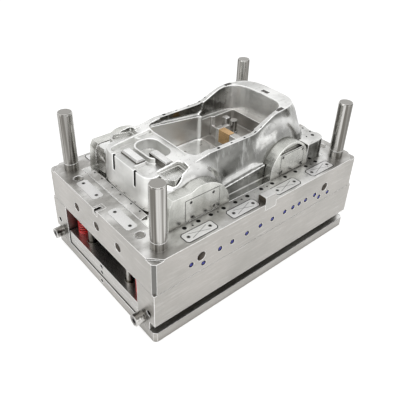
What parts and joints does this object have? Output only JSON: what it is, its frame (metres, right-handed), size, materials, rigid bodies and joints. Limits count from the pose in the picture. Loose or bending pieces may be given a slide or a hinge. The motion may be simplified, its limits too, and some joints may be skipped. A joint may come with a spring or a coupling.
{
  "type": "injection mould",
  "caption": "Core half of a two-plate injection mould: plates, spacers, guide pillars, ejector set with return springs, and a core with cockpit pocket and wheel arches.",
  "frame": {"origin": "on the axis of the middle knock-out bore, in the bottom clamping face", "axes": "+X along the long side away from the end with the feet, +Z the opening direction, -Y the side with the water ports"},
  "size_m": [1.248, 0.8, 0.7],
  "materials": {
    "ground_steel": "ground",
    "wear_steel": "fine ground",
    "core_steel": "semi-polished",
    "insert_steel": "ground",
    "polished_steel": "polished",
    "spring_red": "gloss",
    "plug_blue": "satin",
    "brass": "machined",
    "black_steel": "black oxide"
  },
  "bodies": {
    "mould_base": {"base_strip": "core_steel", "bottom_clamp_plate": "ground_steel", "brass_insert": "brass", "clamp_screws": "black_steel", "core_insert": "core_steel", "core_insert_front": "core_steel", "core_insert_rear": "core_steel", "core_pin": "polished_steel", "core_plate": "ground_steel", "ejector_guide_pins": "polished_steel", "end_lock_front": "ground_steel", "end_lock_rear": "ground_steel", "front_arch_insert_far": "core_steel", "front_arch_insert_near": "core_steel", "front_arch_plate_far": "insert_steel", "front_arch_plate_near": "insert_steel", "grille_block": "core_steel", "guide_pillar_1": "polished_steel", "guide_pillar_2": "polished_steel", "guide_pillar_3": "polished_steel", "guide_pillar_4": "polished_steel", "lamp_housing_far": "core_steel", "lamp_housing_near": "core_steel", "rear_arch_insert_far": "core_steel", "rear_arch_insert_near": "core_steel", "rear_arch_plate_far": "insert_steel", "rear_arch_plate_near": "insert_steel", "return_spring_1": "spring_red", "return_spring_2": "spring_red", "return_spring_3": "spring_red", "return_spring_4": "spring_red", "side_lock_far": "ground_steel", "side_lock_near": "ground_steel", "spacer_block_far": "ground_steel", "spacer_block_near": "ground_steel", "stand_off_feet": "polished_steel", "steering_block": "core_steel", "stop_buttons": "ground_steel", "support_pillars": "ground_steel", "water_port_plugs": "plug_blue", "wear_plate_far_1": "wear_steel", "wear_plate_far_2": "wear_steel", "wear_plate_far_3": "wear_steel", "wear_plate_far_4": "wear_steel", "wear_plate_near_1": "wear_steel", "wear_plate_near_2": "wear_steel", "wear_plate_near_3": "wear_steel", "wear_plate_near_4": "wear_steel", "wear_plates_front": "wear_steel", "wear_plates_rear": "wear_steel"},
    "ejector_set": {"ejector_blades": "core_steel", "ejector_guide_bushes": "brass", "ejector_pins": "polished_steel", "ejector_plate": "ground_steel", "ejector_plate_screws": "black_steel", "ejector_retainer_plate": "ground_steel", "return_pin_1": "polished_steel", "return_pin_2": "polished_steel", "return_pin_3": "polished_steel", "return_pin_4": "polished_steel"}
  },
  "joints": [
    {"name": "ejector_slide", "type": "slide", "parent": "mould_base", "child": "ejector_set", "axis": [0, 0, 1], "range_m": [0, 0.09], "stiffness_N_per_m": 60000, "springref_m": -0.015, "deforming": ["return_spring_1", "return_spring_2", "return_spring_3", "return_spring_4"]}
  ]
}
